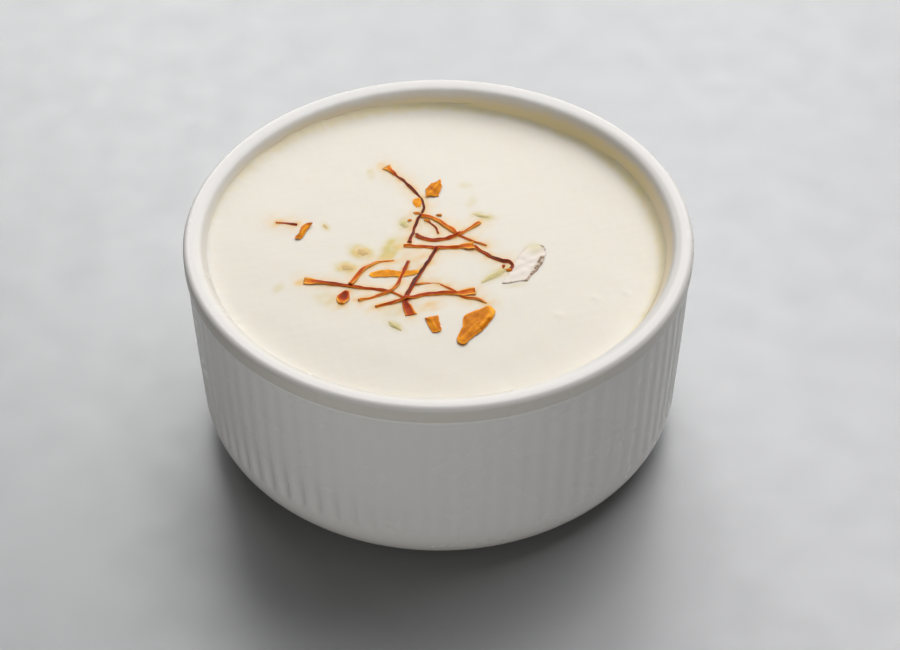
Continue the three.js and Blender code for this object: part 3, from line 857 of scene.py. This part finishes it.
def wall_tints(look):
    """Tints the wall above the pudding: a thin milky film, deeper lower down and olive toward the
    back right, partly painted shade and painted warm light bounced off the pudding, and painted
    shade on the crown, most at the right and not at the back. Returns how much film there is."""
    x, y, z = look.parts()
    radius, right = look.radius(), look.toward(0)
    inside = (1 - look.step(radius, 42.7, 43.7)) * look.step(z, HEIGHT - 9, HEIGHT - 8)
    drift = look.noise(0.3, 5, 0.62, look.vector(x, y, z * 0.4))
    low = HEIGHT - z + (drift - 0.5) * 1.3 + look.step(right, 0.6, 1) * 0.3
    # The film is partly real and partly painted: its darker olive tones toward the back right are
    # painted shade, its warmth and its lighter front left painted light bounced off the pudding.
    bearing = look.toward(WALL_STAIN_AND_SHADE)
    stained = look.step(bearing, -0.8, 0.5)
    olive = look.step(bearing, 0.55, 0.95) * look.step(low, 1.2, 2.6)
    deep_film_and_shade = look.mix(olive, (0.78, 0.665, 0.47), (0.79, 0.66, 0.36))
    milk = look.mix(look.step(low, 0.2, 2.4), (0.65, 0.59, 0.485), deep_film_and_shade)
    milk = look.mix(stained, (0.84, 0.8, 0.71), milk)
    look.tint(look.step(low, -0.25, 1.8) * inside, milk)
    # Painted shade on the crown, most at the right and none at the back.
    shaded = (1 - look.step(radius, 42.2, 43.4)) * (1 - look.step(low, 0.5, 1.8)) * inside
    shaded = shaded * (0.25 + look.step(right, 0.3, 0.9) * 0.75)
    shaded = shaded * (1 - look.step(look.toward(90), 0.55, 0.95))
    look.tint(shaded, (0.6, 0.575, 0.535))
    return stained * inside


def porcelain():
    """White glaze: faint clouds, a deeper tint where it pools in the flutes, the wall's tints, the
    pudding's warm light painted on the side that faces the window with painted shade just inside
    the crown there, painted shade that greys the heel and the crest, a bare and rougher foot, and
    a warm band with painted shade, darker at the left."""
    look = Look("porcelain_glaze", (0.78, 0.767, 0.737), IOR=1.5, Specular_IOR_Level=0.28)
    z, radius = look.parts()[2], look.radius()
    clouds = look.noise(0.06, 4)
    look.tint(clouds, (0.8, 0.79, 0.764))
    look.tint(look.mark("hollow") * 0.35, (0.75, 0.74, 0.705))
    film = wall_tints(look)
    # Painted warm light from the pudding on the side that faces the window, and painted shade just
    # inside the crown there.
    warm = look.step(look.toward(WARM_SIDE), 0.2, 0.95)
    warm = warm * look.step(z, HEIGHT - 3.8, HEIGHT - 3.2)
    look.tint(warm * 0.8, (0.8, 0.77, 0.69))
    look.tint(warm * (1 - look.step(radius, 41.7, 42.7)), (0.67, 0.63, 0.555))
    # Painted shade: the body greys towards the bottom.
    heel = 1 - look.step(z, 1, 11)
    look.tint(heel * 0.85, (0.61, 0.59, 0.54))
    # Painted shade greys the top of the lip.
    crest = look.step(z, HEIGHT - 1.2, HEIGHT - 0.4) * look.step(radius, 42.5, 43.2)
    look.tint(crest, (0.75, 0.725, 0.69))
    bare = (1 - look.step(z, 0.15, 0.5)) * look.step(radius, 30.6, 31.2)
    look.tint(bare, (0.72, 0.69, 0.64))
    # The band is tinted warm and darkened by painted shade, most at the left.
    band = look.step(radius, 44.55, 44.8) * (1 - look.step(z, HEIGHT - 0.7, HEIGHT - 0.4))
    left = look.step(look.toward(180), 0.35, 0.9)
    look.tint(band * 0.8, look.mix(left, (0.7, 0.66, 0.6), (0.58, 0.545, 0.49)))
    roughness = 0.24 + clouds * 0.06 + film * 0.12 + bare * 0.4
    return look.done(roughness, look.noise(0.35, 2) * 0.6 + look.noise(6, 2) * bare, 0.05)


def pudding_cream():
    """Set milk pudding: cream with a faint grain of semolina, yellow where the saffron bleeds,
    pale green where pistachio lies under the skin, and buff where it thins out on the wall, partly
    painted shade of the wall, with yellower patches toward the back right."""
    look = Look("pudding_cream", (0.774, 0.726, 0.628), IOR=1.4, Specular_IOR_Level=0.4,
                Subsurface_Weight=0.3, Subsurface_Radius=(1, 0.75, 0.45),
                Subsurface_Scale=1.2 * MM)
    grain = look.noise(1.6, 3, 0.6)
    look.tint(look.noise(0.09, 4), (0.782, 0.734, 0.628))
    look.tint(look.step(grain, 0.62, 0.8) * 0.2, (0.77, 0.73, 0.62))
    look.tint(look.mark("green") * (0.8 + look.noise(0.8) * 0.4), (0.65, 0.53, 0.17))
    look.tint(look.mark("yellow") * (0.8 + look.noise(0.6) * 0.4), (0.8, 0.53, 0.2))
    # The buff tint by the wall is partly a thin skin and partly painted shade of the wall on the
    # pudding.
    ragged = (look.noise(0.5, 3, 0.55) - 0.5) * 0.7
    thin = look.mark("thin")
    edge = look.step(thin + ragged * look.step(thin, 0, 0.4), 0.1, 0.75)
    look.tint(edge, (0.79, 0.685, 0.45))
    patch = look.step(look.noise(0.3, 3), 0.44, 0.66) * look.step(thin, 0.3, 0.85)
    patch = patch * look.step(look.toward(WALL_STAIN_AND_SHADE), 0.5, 0.85)
    look.tint(patch * 0.55, (0.76, 0.66, 0.28))
    return look.done(0.36 + grain * 0.14, grain, 0.03, 0.5)


def saffron():
    """Dried stigma: from maroon to orange by the thread's tone, orange at its two thin edges and
    darker along its middle, partly painted shade of its fold, with dark streaks along it and a pale
    bloom in places."""
    look = Look("saffron_thread", IOR=1.45, Specular_IOR_Level=0.08)
    lengthwise = look.vector(look.mark("along") * 0.5, look.mark("round") * 14, 0)
    streaks = look.noise(1, 4, 0.7, lengthwise)
    # The darker middle, against the orange edges, is partly painted shade of the fold.
    depth = look.mark("tone") * 0.8 + 0.08 + look.step(look.mark("edge"), 0.45, 0.95) * 0.5
    depth = depth + (streaks - 0.5) * 0.4 + (look.noise(0.7, 3) - 0.5) * 0.6
    look.ramp(
        depth,
        (0, (0.1, 0.03, 0.02)), (0.18, (0.2, 0.038, 0.018)), (0.4, (0.42, 0.042, 0.008)),
        (0.65, (0.62, 0.105, 0.008)), (0.87, (0.8, 0.23, 0.015)), (1, (0.92, 0.42, 0.06)),
    )
    look.tint(look.step(look.noise(0.45, 2), 0.52, 0.68) * 0.22, (0.34, 0.1, 0.1))
    return look.done(0.45 + streaks * 0.25, streaks, 0.06, 0.7)


def petal():
    """Dried petal: amber to burnt orange, with veins along it, darker and lighter folds, partly
    painted shade in the creases and painted light on the ridges, and a lighter rim."""
    look = Look("petal_flake", IOR=1.45, Specular_IOR_Level=0.08)
    along, across = look.mark("along"), look.mark("across")
    bent = look.noise(0.4, 2) * 1.6
    veins = look.noise(1, 3, 0.6, look.vector(along * 0.2, across * 1.3 + bent, 0))
    mottle = look.noise(0.7, 4, 0.65)
    tone = 0.52 + look.mark("tone") * 0.75 + (veins - 0.5) * 0.8 + (mottle - 0.5) * 0.7
    look.ramp(
        tone + look.step(look.mark("edge"), 0.8, 0.98) * 0.3,
        (0, (0.24, 0.04, 0.002)), (0.3, (0.52, 0.135, 0.003)), (0.55, (0.68, 0.215, 0.005)),
        (0.8, (0.9, 0.33, 0.01)), (1, (1, 0.46, 0.04)),
    )
    return look.done(0.45 + mottle * 0.2, veins * 0.7 + mottle * 0.3, 0.1, 0.7)


def almond():
    """Blanched almond flake: ivory, greenish at one tip, with bits of brown skin left on one long
    edge."""
    look = Look("almond_flake", (0.84, 0.745, 0.655), IOR=1.45, Specular_IOR_Level=0.2)
    along, across = look.mark("along"), look.mark("across")
    clouds = look.noise(0.35, 3)
    look.tint(clouds, (0.83, 0.75, 0.65))
    tip = look.step(along, 2.2, 5.2) * look.step(across, -1.2, 0.9)
    look.tint(tip * 0.7, (0.69, 0.63, 0.37))
    broken = look.step(look.noise(1.1, 4, 0.7), 0.34, 0.6)
    bran = look.step(look.mark("tone"), 0.1, 0.9)
    look.tint(bran * (0.45 + broken * 0.55), (0.46, 0.32, 0.2))
    look.tint(look.step(bran * broken, 0.3, 0.8) * 0.8, (0.18, 0.095, 0.045))
    look.tint(look.step(look.mark("edge"), 0.9, 1) * broken * 0.3, (0.52, 0.44, 0.36))
    grain = look.noise(1, 3, where=look.vector(along * 0.3, across * 1.4, 0))
    return look.done(0.4 + clouds * 0.15, grain, 0.05, 0.4)


def pistachio():
    """Pistachio under milk: pale olive, tan at the left of the ramekin, fading into the cream at
    the waterline, with a few flecks of its purple-brown skin."""
    look = Look("pistachio_sliver", (0.66, 0.55, 0.25), IOR=1.4, Specular_IOR_Level=0.3)
    above = look.mark("above")
    mottle = look.noise(0.8, 4)
    look.tint(mottle, (0.58, 0.49, 0.18))
    tan = 1 - look.step(look.parts()[0], -12, -8)
    look.tint(tan, (0.64, 0.43, 0.155))
    fleck = look.step(look.noise(1.3, 2), 0.62, 0.72) * above
    look.tint(fleck * 0.4, (0.34, 0.22, 0.14))
    sunk = (1 - look.step(above, 0, 0.7)) * (1 - tan * 0.6)
    look.tint(sunk, (0.7, 0.61, 0.34))
    return look.done(0.38 + mottle * 0.15, mottle, 0.06, 0.6)


def tabletop():
    """A smooth pale grey board with the faintest clouds and brushed unevenness."""
    look = Look("tabletop", (0.154, 0.159, 0.164), IOR=2.46, Specular_IOR_Level=0.5)
    fine = look.noise(0.12, 3)
    look.tint(look.noise(0.008, 4), (0.163, 0.168, 0.172))
    return look.done(0.42 + fine * 0.1, fine, 0.02, 0.3)


# ---- The object ----

make_piece("ramekin_glazed", [ramekin()], porcelain(), ["ramekin"])

laid = []
threads = []
for number, thread in enumerate(THREADS):
    skin, line = furled_thread(*thread, number, laid)
    threads.append(skin)
    laid.append(line)
make_piece("saffron_threads_laid", threads, saffron(), ["saffron_threads"])

make_piece("pudding_set", [pudding(laid)], pudding_cream(), ["pudding"])

petal_look = petal()
for number, (name, (outline, *shape)) in enumerate(PETALS.items()):
    flake = plate(outline, PETAL_THICK, PETAL_LIFT, *shape, 200 + 10 * number)
    make_piece(f"petal_{name}", [flake], petal_look, [f"petal_flake_{name}"])
scraps = []
for number, (outline, lift, lighter) in enumerate(SCRAPS):
    # One level fold, so wide that it lightens the whole scrap.
    folds = ((-8, 0, 12, 0, 99, 0, lighter),)
    seed = 300 + 10 * number
    scraps.append(plate(outline, SCRAP_THICK, lift, SCRAP_ARCH, SCRAP_AXIS, folds, seed))
make_piece("petal_scraps", scraps, petal_look)

flake = plate(ALMOND[0], ALMOND_THICK, ALMOND_LIFT, *ALMOND[1:], 260)
make_piece("almond_sliced", [flake], almond(), ["almond_flake"])

slivers = [sliver(*sizes, 400 + 10 * number) for number, sizes in enumerate(PISTACHIO)]
make_piece("pistachio_slivers", slivers, pistachio())


# ---- Tabletop, light and camera ----

CAMERA_DISTANCE = 440
CAMERA_ELEVATION = math.radians(40.3)
CAMERA_ROLL = math.radians(0.5)
LENS = 100
# How far left of and above the middle of the view the middle of the lip is, as tangents.
LIP_IN_VIEW = (-0.00468, 0.0374)

# In metres.
LIGHT_DISTANCE = 1
LIGHT_WIDTH = 0.6


def board():
    """The tabletop: a level sheet far wider than the view."""
    half = 1.6
    mesh = bpy.data.meshes.new("board")
    corners = [(-half, -half, 0), (half, -half, 0), (half, half, 0), (-half, half, 0)]
    mesh.from_pydata(corners, [], [(0, 1, 2, 3)])
    mesh.materials.append(tabletop())
    sheet = add_object("board", mesh)


def softbox(name, azimuth, elevation, height, power, colour=(1, 1, 1)):
    """A rectangular light aimed at the ramekin. Azimuth 0 is at the front, 90 at the right."""
    lamp = bpy.data.lights.new(name, "AREA")
    lamp.shape = "RECTANGLE"
    lamp.size = LIGHT_WIDTH
    lamp.size_y = height
    lamp.energy = power
    lamp.color = colour
    light = add_object(name, lamp)
    light.rotation_euler = (math.radians(90 - elevation), 0, math.radians(azimuth))
    out = light.rotation_euler.to_matrix().col[2]
    light.location = Vector((0, 0, 0.03)) + out * LIGHT_DISTANCE


def camera():
    """A long lens in front of the ramekin, looking down on it and aimed a little below its lip."""
    data = bpy.data.cameras.new("camera")
    data.lens = LENS
    data.clip_start = 0.01
    eye = add_object("camera", data)
    tilt = Matrix.Rotation(math.radians(90) - CAMERA_ELEVATION, 3, "X")
    roll = Matrix.Rotation(-CAMERA_ROLL, 3, "Z")
    seen = Vector((*LIP_IN_VIEW, -1))
    aim = Vector((0, 0, -1)).rotation_difference(seen).to_matrix().transposed()
    place = (Vector((0, 0, HEIGHT)) + tilt.col[2] * CAMERA_DISTANCE) * MM
    eye.matrix_world = Matrix.Translation(place) @ (tilt @ roll @ aim).to_4x4()
    bpy.context.scene.camera = eye


board()

# Faint even light from all round.
world = bpy.data.worlds.new("room")
world.use_nodes = True
background = world.node_tree.nodes["Background"]
background.inputs["Color"].default_value = (1, 1, 1, 1)
background.inputs["Strength"].default_value = 0.01
bpy.context.scene.world = world

softbox("window_low", 180, 20, 0.6, 1.5)
softbox("window_middle", 180, 42, 0.6, 3.3)
softbox("window_right", 155, 28, 0.6, 2.3, (1, 0.99, 1.01))
softbox("window_far_right", 130, 60, 0.6, 5.5, (1, 0.99, 1.005))
softbox("window_left", 205, 28, 0.6, 2.85)
softbox("card_right", 90, 8, 0.3, 0.85)
softbox("card_front", 0, 8, 0.3, 1.85)
softbox("card_front_left", 325, 8, 0.3, 1.4)
camera()

bpy.context.scene.view_settings.view_transform = "Standard"
